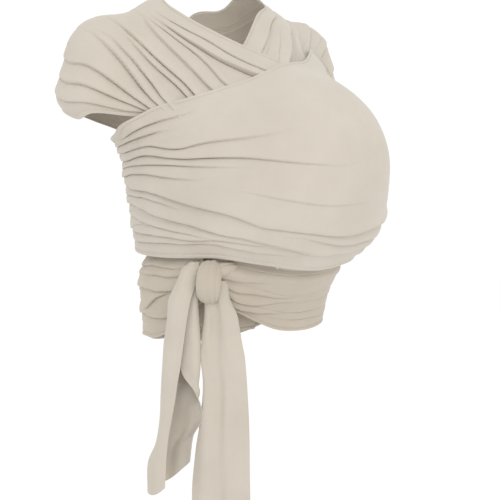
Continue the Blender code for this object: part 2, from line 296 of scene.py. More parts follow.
# Knife pleats: their drifts across the band as shares of its width, the strip at its edges where these fade,
# how much the height varies, the pleat width for full height and its limits, the width of a drop and the
# limits of its share, and the sink and overhang as shares of the height.
PLEAT_DRIFT = (0.03, 0.007)
PLEAT_EDGE = 0.08
PLEAT_SWELL = 0.34
PLEAT_FULL_WIDTH = 0.018
PLEAT_SIZES = (0.45, 1.15)
PLEAT_DROP = 0.0016
PLEAT_DROPS = (0.04, 0.25)
PLEAT_SINK = 0.45
PLEAT_OVERHANG = 0.75


def pleats(place, share, width, marks, ripples, tall):
    """Gathered cloth: knife pleats between the given marks across the band. Returns height and overhang."""
    marks = np.asarray(marks, float)
    count = len(marks) - 1
    drift = PLEAT_DRIFT[0] * ripples[0](place * 0.13, share * 0.8)
    drift = drift + PLEAT_DRIFT[1] * ripples[1](place * 0.5, share * 2.5)
    fade = ramp(share, 0.0, PLEAT_EDGE) * ramp_down(share, 1 - PLEAT_EDGE, 1.0)
    phase = np.interp(share + drift * fade, marks, np.arange(count + 1))
    ridge = np.minimum(np.floor(phase), count - 1)
    inside = np.clip(phase - ridge, 0.0, 1.0)
    pleat_width = np.diff(marks)[ridge.astype(int)] * width
    wave = np.sin(ridge * 4.37 + place * 0.8) * np.cos(ridge * 1.31 - place * 0.31)
    swell = 1 - PLEAT_SWELL + PLEAT_SWELL * wave
    size = tall * swell * np.clip(pleat_width / PLEAT_FULL_WIDTH, *PLEAT_SIZES)
    drop = np.clip(PLEAT_DROP / pleat_width, *PLEAT_DROPS)
    lip = ramp_down(inside, 1 - drop, 1.0)
    rise = 1 - (1 - inside) ** 3.0
    height = size * (rise * lip - PLEAT_SINK)
    over = PLEAT_OVERHANG * size * bell(inside - 1, -1.2 * drop, 1.3 * drop)
    return height, over


# ------------ materials
def set_inputs(node, values):
    """Sets a node's own sockets, by name."""
    for socket, value in values.items():
        node.inputs[socket].default_value = value


JERSEY = (0.574, 0.526, 0.456)
STITCH_WIDTH = 0.0013
STITCH_HEIGHT = 0.0011
STITCH_LEAN = 1.3
# The hem's stitches: their distance in from the edge, half the thread's width, the step from one stitch to
# the next, and the share of it that is a gap.
HEM_STITCH = 0.0047
HEM_THREAD = 0.00035
HEM_PITCH = 0.0032
HEM_GAP = 0.3


def jersey(name, shade_tint=(1.0, 1.0, 1.0)):
    """Fine knit jersey: rows of small V stitches along the band, a soft mottle, and a faint matte sheen."""
    material = bpy.data.materials.new(name)
    material.use_nodes = True
    nodes, links = material.node_tree.nodes, material.node_tree.links
    shader = nodes["Principled BSDF"]
    # A shade tint below one makes a darker copy of the same jersey: painted shade.
    base = [c * t for c, t in zip(JERSEY, shade_tint)]
    set_inputs(shader, {"Specular IOR Level": 0.18, "Sheen Weight": 0.22, "Sheen Roughness": 0.55,
                        "Sheen Tint": (1.0, 0.97, 0.92, 1.0)})

    def node(kind, **values):
        made = nodes.new(kind)
        for key, value in values.items():
            setattr(made, key, value)
        return made

    def maths(operation, *values):
        made = node("ShaderNodeMath", operation=operation)
        for socket, value in zip(made.inputs, values):
            if isinstance(value, (int, float)):
                socket.default_value = value
            else:
                links.new(value, socket)
        return made.outputs[0]

    coordinates = node("ShaderNodeTexCoord")
    parts = node("ShaderNodeSeparateXYZ")
    links.new(coordinates.outputs["UV"], parts.inputs[0])
    column = maths("MULTIPLY", parts.outputs[1], 1.0 / STITCH_WIDTH)
    across = maths("ABSOLUTE", maths("SUBTRACT", maths("FRACT", column), 0.5))
    row = maths("MULTIPLY", parts.outputs[0], 1.0 / STITCH_HEIGHT)
    leaning = maths("ADD", row, maths("MULTIPLY", across, STITCH_LEAN))
    loops = maths("SINE", maths("MULTIPLY", leaning, 2 * math.pi))
    wales = maths("SINE", maths("MULTIPLY", across, math.pi))
    knit = maths("MULTIPLY_ADD", loops, 0.35, wales)

    mottle = node("ShaderNodeTexNoise")
    links.new(coordinates.outputs["Object"], mottle.inputs["Vector"])
    set_inputs(mottle, {"Scale": 14.0, "Detail": 5.0, "Roughness": 0.6})
    fibre = node("ShaderNodeTexNoise")
    links.new(coordinates.outputs["Object"], fibre.inputs["Vector"])
    set_inputs(fibre, {"Scale": 900.0, "Detail": 2.0})

    colour = node("ShaderNodeValToRGB")
    dark, light = colour.color_ramp.elements
    dark.position, light.position = 0.3, 0.7
    dark.color = (base[0] * 0.955, base[1] * 0.95, base[2] * 0.94, 1)
    light.color = (base[0] * 1.03, base[1] * 1.03, base[2] * 1.03, 1)
    links.new(mottle.outputs["Fac"], colour.inputs["Fac"])
    stitch_tone = node("ShaderNodeMix", data_type="RGBA", blend_type="MULTIPLY")
    links.new(maths("MULTIPLY_ADD", knit, 0.1, 0.08), stitch_tone.inputs["Factor"])
    links.new(colour.outputs["Color"], stitch_tone.inputs["A"])
    set_inputs(stitch_tone, {"B": (0.93, 0.92, 0.9, 1)})
    links.new(stitch_tone.outputs["Result"], shader.inputs["Base Color"])
    links.new(maths("MULTIPLY_ADD", fibre.outputs["Fac"], 0.14, 0.8), shader.inputs["Roughness"])

    hem = node("ShaderNodeUVMap", uv_map="hem")
    hem_parts = node("ShaderNodeSeparateXYZ")
    links.new(hem.outputs["UV"], hem_parts.inputs[0])
    off_line = maths("ABSOLUTE", maths("SUBTRACT", hem_parts.outputs[1], HEM_STITCH))
    on_line = maths("LESS_THAN", off_line, HEM_THREAD)
    along_hem = maths("MULTIPLY", hem_parts.outputs[0], 1.0 / HEM_PITCH)
    dash = maths("GREATER_THAN", maths("FRACT", along_hem), HEM_GAP)
    thread = maths("MULTIPLY", on_line, dash)
    height = maths("ADD", maths("MULTIPLY", knit, 0.6), maths("MULTIPLY", fibre.outputs["Fac"], 0.5))
    height = maths("MULTIPLY_ADD", thread, 2.5, height)
    bump = node("ShaderNodeBump")
    set_inputs(bump, {"Strength": 0.35, "Distance": 0.00016})
    links.new(height, bump.inputs["Height"])
    links.new(bump.outputs["Normal"], shader.inputs["Normal"])
    return material


# ------------ sheets
CLOTH_THICKNESS = 0.001


def added(name, data):
    """A new object in the scene."""
    made = bpy.data.objects.new(name, data)
    bpy.context.scene.collection.objects.link(made)
    return made


def sheet_mesh(name, grid, material, uv_size, faces_out=None, border=None, closed=False):
    """A smooth thin sheet through a grid of points. Its UVs run in metres along and across the cloth."""
    along, across = grid.shape[0], grid.shape[1]
    index = np.arange(along * across).reshape(along, across)
    faces = np.stack([index[:-1, :-1], index[1:, :-1], index[1:, 1:], index[:-1, 1:]], axis=-1).reshape(-1, 4)
    row, column = along // 2, across // 2
    side = np.cross(grid[row + 1, column] - grid[row, column], grid[row, column + 1] - grid[row, column])
    if closed:
        out = grid[row, column] - grid[row].mean(axis=0)
    elif faces_out is None:
        out = grid[row, column] - np.array([0, 0, min(grid[row, column][2], CORE_TOP)])
    else:
        out = np.asarray(faces_out)
    if side @ out < 0:
        faces = faces[:, ::-1]
    mesh = bpy.data.meshes.new(name)
    mesh.from_pydata(grid.reshape(-1, 3).tolist(), [], faces.tolist())
    mesh.update()
    length, width = uv_size
    u = np.repeat(np.linspace(0, length, along), across)
    v = np.tile(np.linspace(0, width, across), along)
    edge = np.full(along * across, 1.0) if border is None else np.ascontiguousarray(border, float).ravel()
    loops = np.zeros(len(mesh.loops), dtype=np.int32)
    mesh.loops.foreach_get("vertex_index", loops)
    mesh.uv_layers.new(name="cloth").data.foreach_set("uv", np.stack([u[loops], v[loops]], axis=-1).ravel())
    mesh.uv_layers.new(name="hem").data.foreach_set("uv", np.stack([u[loops], edge[loops]], axis=-1).ravel())
    mesh.shade_smooth()
    ends = np.zeros(2 * len(mesh.edges), dtype=np.int32)
    mesh.edges.foreach_get("vertices", ends)
    first, second = ends[0::2], ends[1::2]
    on_end = (first // across == second // across) & np.isin(first // across, (0, along - 1))
    on_side = (first % across == second % across) & np.isin(first % across, (0, across - 1)) & (not closed)
    mesh.attributes.new("sharp_edge", "BOOLEAN", "EDGE").data.foreach_set("value", on_end | on_side)
    mesh.materials.append(material)
    piece = added(name, mesh)
    solid = piece.modifiers.new("cloth", "SOLIDIFY")
    solid.thickness = CLOTH_THICKNESS
    solid.offset = 0.0
    return piece


def surface_normals(grid):
    """Unit normals of a grid, turned away from the wearer's core."""
    normal = np.cross(np.gradient(grid, axis=0), np.gradient(grid, axis=1))
    normal /= np.maximum(np.linalg.norm(normal, axis=-1, keepdims=True), 1e-12)
    core = np.zeros_like(grid)
    core[..., 2] = np.minimum(grid[..., 2], CORE_TOP)
    turned = np.sign(np.sum(normal * (grid - core), axis=-1, keepdims=True))
    return normal * np.where(turned == 0, 1, turned)


def blurred(grid, rounds):
    """Evens a grid out along both directions, keeping its border."""
    for _ in range(rounds):
        inner = (grid[:-2, 1:-1] + grid[2:, 1:-1] + grid[1:-1, :-2] + grid[1:-1, 2:]) / 4
        grid = grid.copy()
        grid[1:-1, 1:-1] = 0.5 * grid[1:-1, 1:-1] + 0.5 * inner
    return grid


# ------------ camera and light
AXIS_TURN = math.radians(-40.0)
AXIS_TILT = math.radians(6.0)
VIEW_DISTANCE = 2.0
VIEW_CENTRE_HEIGHT = -0.342
VIEW_SIDE_STEP = 0.038
LENS = 106.6
SENSOR_WIDTH = 36.0

level = math.cos(AXIS_TILT)
outward = Vector((math.sin(AXIS_TURN) * level, -math.cos(AXIS_TURN) * level, math.sin(AXIS_TILT)))
sideways = Vector((math.cos(AXIS_TURN), math.sin(AXIS_TURN), 0.0))
centre = Vector((0, 0, VIEW_CENTRE_HEIGHT)) + sideways * VIEW_SIDE_STEP
camera = added("camera", bpy.data.cameras.new("camera"))
camera.data.lens = LENS
camera.data.sensor_width = SENSOR_WIDTH
camera.location = centre + outward * VIEW_DISTANCE
camera.rotation_euler = outward.to_track_quat("Z", "Y").to_euler()
bpy.context.scene.camera = camera


LIGHT_AIM = (0, 0, -0.3)


def area_light(name, direction, distance, size, power, colour):
    """A square soft box that shines at the middle of the object."""
    light = bpy.data.lights.new(name, "AREA")
    light.size = size
    light.energy = power
    light.color = colour
    made = added(name, light)
    way = Vector(direction).normalized()
    made.location = Vector(LIGHT_AIM) + way * distance
    made.rotation_euler = way.to_track_quat("Z", "Y").to_euler()


world = bpy.data.worlds.new("studio")
world.use_nodes = True
set_inputs(world.node_tree.nodes["Background"], {"Color": (1.0, 1.0, 1.0, 1), "Strength": 1.02})
bpy.context.scene.world = world
bpy.context.scene.view_settings.view_transform = "Standard"
area_light("key", (-0.5, -1.0, 0.65), 2.2, 1.2, 9.0, (1.0, 0.99, 0.97))

# A weak fill inside, where the wearer's pale clothes would throw light back on the cloth.
bounce = added("bounce", bpy.data.lights.new("bounce", "POINT"))
bounce.data.energy = 0.13
bounce.data.shadow_soft_size = 0.06
bounce.location = (0.0, 0.0, -0.13)

FLOOR_HEIGHT = -1.3
FLOOR_HALF = 6.0
floor_corners = [(x * FLOOR_HALF, y * FLOOR_HALF, FLOOR_HEIGHT)
                 for x, y in ((-1, -1), (1, -1), (1, 1), (-1, 1))]
floor_mesh = bpy.data.meshes.new("studio_floor")
floor_mesh.from_pydata(floor_corners, [], [(0, 1, 2, 3)])
floor = added("studio_floor", floor_mesh)
floor_paint = bpy.data.materials.new("studio_floor")
floor_paint.use_nodes = True
floor_shader = floor_paint.node_tree.nodes["Principled BSDF"]
set_inputs(floor_shader, {"Base Color": (1.0, 1.0, 1.0, 1), "Roughness": 0.9})
floor_mesh.materials.append(floor_paint)


# ------------ the long carrying band
def ring(angles, height):
    """Guide points at one height."""
    return [at(angle, height) for angle in angles]


def mirrored(edge):
    """The same edge on the wearer's other side."""
    return [(-x, y, z) for x, y, z in edge]


PANEL_ANGLES = [-89, -72, -55, -40, -25, -3, 14, 32, 50, 64, 76, 84, 89]
PANEL_TOP = [-0.161, -0.109, -0.084, -0.061, -0.034, 0.031, 0.052, 0.093, 0.115, 0.11, 0.055, -0.1, -0.165]
PANEL_BOTTOM = [-0.338, -0.338, -0.336, -0.334, -0.34, -0.35, -0.344, -0.342, -0.34, -0.338, -0.338,
                -0.338, -0.338]
panel_top = [at(a, z) for a, z in zip(PANEL_ANGLES, PANEL_TOP)]
panel_bottom = [at(a, z) for a, z in zip(PANEL_ANGLES, PANEL_BOTTOM)]

# On from the panel's right side: two stations at the side gathers, four on the back, two on the left
# shoulder, two on the chest and four hidden under the panel. The way from its left side mirrors it, but for
# the upper edge from the shoulder on.
BACK_UPPER = [at(-106, -0.184), at(-122, -0.186), at(-150, -0.13), at(-170, -0.055), (0.01, 0.092, -0.024),
              (0.064, 0.078, -0.005)]
LEFT_UPPER = [(0.066, 0.036, 0.01), (0.072, -0.006, -0.006), (0.03, -0.038, -0.026),
              (-0.03, -0.082, -0.066), at(-46, -0.13), at(-60, -0.225), at(-76, -0.29), at(-90, WAIST_TOP)]
RIGHT_UPPER = [(-0.078, 0.036, 0.002), (-0.088, -0.006, -0.019), (-0.06, -0.062, -0.052),
               (-0.006, -0.112, -0.089), at(28, -0.15), at(52, -0.225), at(72, -0.29), at(90, WAIST_TOP)]
ON_LOWER = [at(-106, -0.336), at(-122, -0.33), at(-152, -0.318), at(178, -0.285), (0.11, 0.11, -0.215),
            (0.198, 0.084, -0.15), (0.225, 0.034, -0.156), (0.196, -0.012, -0.15),
            (0.15, -0.07, -0.172), at(48, -0.225), at(22, -0.325), at(-8, -0.415), at(-45, -0.444),
            at(-88, HEM_HEIGHT + 0.004)]
# The cloth's level at each station of the onward way, in metres outside the form: less than 0 is inside.
LEFT_LEVELS = [-0.001, -0.004, -0.0105, -0.0115, -0.0105, -0.007, -0.006, -0.008, -0.0115, -0.013,
               -0.015, -0.015, -0.015, -0.015]
RIGHT_LEVELS = [-0.001, -0.003, -0.006, -0.006, -0.006, -0.006, -0.006, -0.006, -0.006, -0.007,
                -0.009, -0.009, -0.009, -0.009]
# The pleats' height in mm at each station.
LEFT_PLEATS = [2.2, 2.6, 3.0, 2.6, 2.8, 2.0, 1.4, 1.2, 1.2, 1.6, 0.6, 0.4, 0.4, 0.4]
RIGHT_PLEATS = [3.2, 3.4, 3.2, 3.0, 2.6, 1.4, 0.6, 0.2, 0.2, 0.2, 0.2, 0.2, 0.2, 0.2]
PANEL_PLEATS = [1.4, 0.8, 0.4, 0.2, 0.1, 0.1, 0.1, 0.1, 0.2, 0.5, 1.2, 2.2, 3.0]
PANEL_LEVELS = [-0.0008] * len(PANEL_ANGLES)

wrap_first = list(reversed(BACK_UPPER + LEFT_UPPER)) + panel_top + mirrored(BACK_UPPER) + RIGHT_UPPER
wrap_second = list(reversed(ON_LOWER)) + panel_bottom + mirrored(ON_LOWER)
wrap_levels = list(reversed(LEFT_LEVELS)) + PANEL_LEVELS + RIGHT_LEVELS
wrap_pleats = list(reversed(LEFT_PLEATS)) + PANEL_PLEATS + RIGHT_PLEATS
PANEL_START = len(ON_LOWER)


def panel_place(angle):
    """The station number on the wrap of an angle round the panel or the side gathers beyond it."""
    return PANEL_START - 2 + float(np.interp(angle, [-122, -106] + PANEL_ANGLES + [106, 122], range(17)))


# A sheet's rounds of evening out, before its folds are raised and again for their directions, the height of
# its fine ripples, the strip at its edges where folds fade, and the share of them that stays. A tuck draws
# the first edge in, and ends between two shares across.
FORM_ROUNDS = 24
FOLD_ROUNDS = 8
FINE_RIPPLE = 0.0005
EDGE_FADE = 0.012
EDGE_KEEP = 0.3
TUCK_SPAN = (0.02, 0.3)
# The hem: how far its edge is raised, where that ends, and the groove under its stitches.
HEM_RISE = 0.0008
HEM_RISE_END = (0.003, 0.0044)
HEM_GROOVE = 0.0006
HEM_GROOVE_WIDTH = 0.0009


def woven_band(name, first, second, levels, tall, marks, seed, folds, cells, material, over_arm, tuck):
    """A stretch of band between two edges laid on the form, with its gathers and folds, as one thin sheet."""
    along, across = cells[0] // COARSE, cells[1] // COARSE
    stations = len(first)
    levels = np.asarray(levels, float)
    edge_first = lay_on_form(first, levels)
    edge_second = lay_on_form(second, levels)
    places, length = even_places((edge_first + edge_second) / 2, along)
    top, bottom = through(edge_first, places), through(edge_second, places)
    share = np.linspace(0, 1, across + 1)
    level = smooth_value(places, np.arange(stations), levels)
    guide = top[:, None, :] * (1 - share[None, :, None]) + bottom[:, None, :] * share[None, :, None]
    grid = lay_on_form(guide, level[:, None] - tuck * ramp_down(share, *TUCK_SPAN)[None, :])
    grid = blurred(grid, FORM_ROUNDS // COARSE)
    if over_arm:
        grid = flared(grid)
    width = np.linalg.norm(np.diff(grid, axis=1), axis=-1).sum(axis=1)
    place = places[:, None]
    high = smooth_value(places, np.arange(stations), tall)[:, None] / 1000
    ripples = (Ripples(seed), Ripples(seed + 1), Ripples(seed + 2))
    height, over = pleats(place, share[None, :], width[:, None], marks, ripples, high)
    more, more_over = folds.relief(place, share[None, :], width[:, None])
    height, over = height + more, over + more_over
    height = height + FINE_RIPPLE * ripples[2](place * 0.9, share[None, :] * 3.0)
    border = np.minimum(share, 1 - share)[None, :] * width[:, None]
    inwards = ramp(border, 0.0, EDGE_FADE)
    height = height * (EDGE_KEEP + (1 - EDGE_KEEP) * inwards)
    over = over * inwards
    height = height + HEM_RISE * ramp_down(border, *HEM_RISE_END)
    height = height - HEM_GROOVE * bell(border, HEM_STITCH, HEM_GROOVE_WIDTH)
    smooth = blurred(grid, FOLD_ROUNDS // COARSE)
    down = np.gradient(smooth, axis=1)
    down /= np.maximum(np.linalg.norm(down, axis=-1, keepdims=True), 1e-9)
    grid = grid + surface_normals(smooth) * height[..., None] + down * over[..., None]
    return sheet_mesh(name, grid, material, uv_size=(length, float(max(width))), border=border)


wrap_folds = Folds(11)
NEAR_SIDE = -88
NEAR_SIDE_HEIGHT = 0.65


def panel_fold(angles, shares, talls, soft=10.0, tight=3.0):
    """A fold on the panel, at angles round the body. It is lower where it runs on round the near side."""
    line = []
    for angle, share, tall in zip(angles, shares, talls):
        if angle < NEAR_SIDE:
            tall *= NEAR_SIDE_HEIGHT
        line.append((panel_place(angle), share, tall))
    wrap_folds.add(line, soft, tight)


PANEL_FOLDS = (
    # Along the upper edge and down the near side.
    ((-104, -84, -72, -62, -53), (0.01, 0.06, 0.09, 0.1, 0.1), (2.5, 3.0, 3.0, 2.2, 0.8), 7.0),
    ((-104, -85, -75, -63), (0.05, 0.1, 0.15, 0.18), (2.5, 3.5, 3.0, 0.8), 7.0),
    ((-110, -93, -73, -55, -45, -33, -21), (0.1, 0.14, 0.23, 0.3, 0.3, 0.31, 0.32),
     (2.5, 3.2, 3.0, 3.0, 2.6, 2.0, 0.8), 8.0, 2.6),
    ((-110, -92, -73, -54, -44, -33, -20, -6), (0.17, 0.21, 0.29, 0.36, 0.375, 0.4, 0.44, 0.47),
     (2.5, 3.8, 3.8, 3.8, 3.4, 2.8, 1.8, 0.5), 11.0, 2.8),
    ((-108, -92, -73, -50, -34), (0.25, 0.27, 0.35, 0.42, 0.46), (2.5, 3.0, 3.0, 2.0, 0.5), 7.0, 2.4),
    ((-110, -90, -76, -63, -48), (0.31, 0.34, 0.4, 0.46, 0.51), (3.0, 3.6, 3.2, 2.4, 0.6), 9.0),
    ((-112, -98, -80, -63, -44, -33, -27, -16), (0.36, 0.4, 0.49, 0.58, 0.68, 0.73, 0.77, 0.8),
     (3.0, 4.2, 4.4, 4.6, 4.6, 3.6, 2.0, 0.5), 15.0, 3.4),
    ((-108, -92, -73, -55), (0.47, 0.5, 0.59, 0.68), (2.5, 3.0, 2.6, 0.6), 7.0, 2.4),
    ((-32, -21, -9, 4), (0.59, 0.63, 0.66, 0.67), (0.4, 1.3, 1.2, 0.3), 14.0, 4.0),
    ((-110, -90, -72, -54, -35, -21, -8), (0.54, 0.58, 0.68, 0.76, 0.84, 0.87, 0.9),
     (3.0, 4.2, 4.0, 4.2, 3.8, 2.6, 0.6), 12.0, 3.2),
    ((-108, -92, -74, -58, -40), (0.66, 0.68, 0.76, 0.82, 0.86), (2.5, 3.0, 3.0, 2.2, 0.6), 7.0, 2.4),
    ((-110, -100, -78, -55, -35, -20), (0.77, 0.79, 0.82, 0.86, 0.88, 0.89),
     (2.5, 3.2, 3.2, 3.2, 2.4, 0.6), 9.0, 2.6),
    ((-108, -93, -75, -60, -39, -26, -15), (0.86, 0.88, 0.885, 0.89, 0.905, 0.925, 0.935),
     (2.5, 3.0, 3.0, 3.2, 3.0, 2.2, 0.6), 8.0, 2.6),
    # Up from the lower edge to the far side.
    ((-24, -12, -5, 5, 14, 35, 60, 80, 95), (0.785, 0.8, 0.81, 0.805, 0.79, 0.74, 0.66, 0.58, 0.52),
     (0.6, 2.2, 3.0, 3.8, 4.4, 4.4, 4.0, 4.0, 4.0), 10.0, 3.0),
    ((-14, -1, 11, 35, 60, 80, 95), (0.83, 0.86, 0.86, 0.82, 0.74, 0.66, 0.6),
     (0.6, 3.0, 3.8, 4.0, 3.6, 4.0, 4.0), 8.0, 2.8),
    ((-22, -13, 1, 18, 45, 75, 95), (0.87, 0.9, 0.91, 0.89, 0.85, 0.78, 0.72),
     (0.6, 2.6, 3.4, 4.0, 3.6, 4.0, 4.0), 8.0, 2.8),
    ((2, 22, 50, 78, 95), (0.955, 0.945, 0.92, 0.88, 0.84), (0.6, 2.8, 3.4, 3.8, 3.6), 7.0, 2.6),
    ((28, 50, 70, 89), (0.62, 0.55, 0.46, 0.38), (0.5, 2.2, 3.4, 4.0)),
    ((40, 60, 76, 92), (0.36, 0.33, 0.28, 0.24), (0.5, 2.2, 3.2, 4.0)),
    ((46, 64, 80, 92), (0.14, 0.14, 0.12, 0.1), (0.5, 2.2, 3.2, 4.0)),
)
for fold in PANEL_FOLDS:
    panel_fold(*fold)

# Drawn in a little below the baby's head, on the far side.
FAR_HOLLOW = ((10, 0.0), (32, 3.0), (50, 5.5), (64, 4.0), (80, 0.0))
wrap_folds.add_hollow([(panel_place(angle), 0.62, depth) for angle, depth in FAR_HOLLOW], 32.0)

# The stations on top of the right shoulder, and just in front of the left shoulder's top.
RIGHT_SHOULDER = PANEL_START + len(PANEL_ANGLES) + len(BACK_UPPER)
LEFT_SHOULDER = PANEL_START - len(BACK_UPPER) - 2


def strap_fold(places, shares, talls, soft=9.0, tight=3.0):
    """A fold on the right strap, at places counted from the shoulder towards the chest."""
    wrap_folds.add(list(zip([RIGHT_SHOULDER + place for place in places], shares, talls)), soft, tight)


STRAP_FOLDS = (
    ((1.1, 1.6, 2.1, 2.6, 3.2), (0.135, 0.14, 0.15, 0.18, 0.2), (0.8, 2.2, 2.4, 2.4, 2.0), 7.0, 2.2),
    ((1.1, 1.5, 2.1, 2.6, 3.2), (0.2, 0.21, 0.24, 0.255, 0.28), (1.0, 3.6, 5.0, 5.2, 5.0), 12.0, 3.4),
    ((0.9, 1.5, 2.3, 2.7, 3.3), (0.245, 0.27, 0.36, 0.43, 0.46), (0.6, 2.2, 2.6, 2.6, 2.0), 7.0, 2.2),
    ((0.7, 1.1, 1.7, 2.1, 2.6, 3.2), (0.26, 0.31, 0.39, 0.45, 0.51, 0.54),
     (0.5, 2.0, 2.8, 3.0, 3.0, 2.4), 13.0, 3.4),
    ((0.6, 1.0, 1.4, 1.9, 2.4, 3.0), (0.45, 0.46, 0.5, 0.56, 0.61, 0.64),
     (0.8, 3.0, 4.2, 4.8, 4.8, 4.0), 9.0, 2.8),
    ((1.0, 1.2, 1.5, 2.0, 2.6), (0.49, 0.52, 0.57, 0.635, 0.69), (0.8, 2.6, 3.4, 3.6, 3.0), 9.0, 2.8),
    ((0.9, 1.2, 1.5, 1.8, 2.3), (0.56, 0.61, 0.69, 0.765, 0.82), (1.0, 3.4, 4.4, 4.6, 3.6), 9.0, 2.8),
    ((0.6, 1.0, 1.2, 1.5, 1.9, 2.4), (0.58, 0.63, 0.68, 0.78, 0.84, 0.88),
     (0.8, 3.2, 4.6, 5.2, 5.0, 4.0), 12.0, 3.2),
    ((-0.7, 0.0, 0.7, 1.1, 1.4, 1.8), (0.7, 0.73, 0.75, 0.79, 0.85, 0.9),
     (0.6, 1.8, 3.2, 4.2, 4.6, 4.0), 11.0, 3.0),
    ((-0.8, -0.1, 0.8, 1.2, 1.6), (0.79, 0.81, 0.85, 0.88, 0.92), (0.8, 2.2, 3.4, 3.8, 3.4), 9.0, 3.0),
    ((-0.9, -0.2, 0.6, 1.2), (0.87, 0.89, 0.93, 0.95), (0.8, 2.0, 3.0, 3.0), 8.0, 3.0),
)
for fold in STRAP_FOLDS:
    strap_fold(*fold)


def far_strap_fold(places, shares, talls, soft=8.0, tight=3.0):
    """A fold on the left strap, at places counted from the shoulder towards the chest."""
    line = list(zip([LEFT_SHOULDER - place for place in places], shares, talls))
    wrap_folds.add(line[::-1], soft, tight)


FAR_STRAP_FOLDS = (
    ((-0.6, 0.4, 1.2, 2.2, 3.2), (0.12, 0.13, 0.13, 0.12, 0.12), (0.6, 1.6, 2.0, 2.0, 1.6), 7.0),
    ((-0.8, 0.2, 1.0, 2.0, 3.2), (0.26, 0.27, 0.27, 0.26, 0.25),
     (2.0, 5.0, 8.0, 8.0, 6.0), 14.0, 5.0),
    ((-0.8, 0.2, 1.2, 2.0, 3.0), (0.38, 0.39, 0.4, 0.41, 0.42), (2.0, 4.0, 4.6, 4.6, 3.0), 9.0),
    ((-0.8, 0.2, 1.2, 2.0, 3.0), (0.5, 0.51, 0.52, 0.53, 0.54), (2.0, 3.6, 4.2, 4.2, 3.0), 9.0),
    ((-0.8, 0.2, 1.2, 2.0, 3.0), (0.62, 0.63, 0.64, 0.65, 0.66), (2.0, 3.2, 3.6, 3.6, 3.0), 9.0),
    ((-0.8, 0.2, 1.2, 2.0), (0.76, 0.77, 0.78, 0.79), (2.0, 3.0, 3.0, 2.0), 9.0),
)
for fold in FAR_STRAP_FOLDS:
    far_strap_fold(*fold)

panel_jersey = jersey("panel_jersey")
# The waist loops and the knot: the same jersey darkened, as painted shade.
waist_jersey = jersey("waist_jersey", (0.895, 0.865, 0.83))
# The tails: the same jersey a little darker, as painted shade.
tail_jersey = jersey("tail_jersey", (0.975, 0.97, 0.965))

WRAP_MARKS = [0, 0.17, 0.24, 0.35, 0.47, 0.57, 0.65, 0.78, 0.84, 0.9, 1.0]
wrap = woven_band("carrying_wrap", wrap_first, wrap_second, wrap_levels, wrap_pleats, WRAP_MARKS, 3,
                  wrap_folds, (1000, 240), panel_jersey, over_arm=True, tuck=0.0)
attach(wrap, "worn_cloth")
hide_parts("front_panel", "right_side_gather", "left_side_gather", "back_pass_to_left",
            "back_pass_to_right", "right_shoulder_cap", "left_shoulder_cap", "right_chest_strap",
            "left_chest_strap")

# ------------ the waist loops
# In front, their upper edges are tucked behind the panel's, and their lower edges draw up to the knot.
KNOT_LOWER = -0.393
TUCKED = -0.331
UNDER_UPPER = [at(-20, -0.345)] + ring((-60, -92, -120, -150, 180, 150, 120), WAIST_TOP)
UNDER_UPPER += [at(92, TUCKED - 0.006), at(70, TUCKED), at(40, TUCKED - 0.002), at(12, TUCKED - 0.006),
                at(-8, TUCKED - 0.01), at(-24, TUCKED - 0.006), at(-34, -0.334), at(-43, -0.336)]
UNDER_LOWER = [at(-20, -0.43), at(-60, -0.44)] + ring((-92, -120, -150, 180, 150, 120), HEM_HEIGHT)
UNDER_LOWER += [at(92, HEM_HEIGHT + 0.006), at(70, -0.44), at(40, -0.436), at(12, -0.437), at(-8, -0.432),
                at(-22, -0.418), at(-33, -0.403), at(-42, KNOT_LOWER)]
UNDER_LEVELS = [-0.012, -0.012, -0.011, -0.011, -0.011, -0.011, -0.011, -0.009, -0.004, -0.002, -0.001,
                -0.001, 0.000, 0.003, 0.006, 0.009]
UNDER_PLEATS = [0.5, 0.6, 0.8, 1.4, 1.8, 2.0, 2.0, 2.2, 2.2, 1.8, 1.8, 2.0, 1.8, 1.4, 1.2, 1.0]

OVER_UPPER = [at(30, -0.345)] + ring((60, 92, 120, 150, 180, -150, -120), WAIST_TOP)
OVER_UPPER += [at(-96, TUCKED - 0.006), at(-82, TUCKED), at(-69, TUCKED), at(-58, -0.332), at(-47, -0.335)]
OVER_LOWER = [at(30, -0.43), at(60, -0.44)] + ring((92, 120, 150, 180, -150, -120), HEM_HEIGHT)
OVER_LOWER += [at(-98, HEM_HEIGHT + 0.004), at(-84, -0.447), at(-72, -0.438), at(-60, -0.416),
               at(-48, -0.392)]
OVER_LEVELS = [-0.007, -0.007, -0.007, -0.006, -0.005, -0.005, -0.005, -0.004, -0.001, 0.000, 0.002,
               0.004, 0.008]
OVER_PLEATS = [0.5, 0.6, 0.8, 1.6, 2.4, 2.8, 2.8, 2.4, 1.2, 1.0, 1.0, 1.2, 1.0]

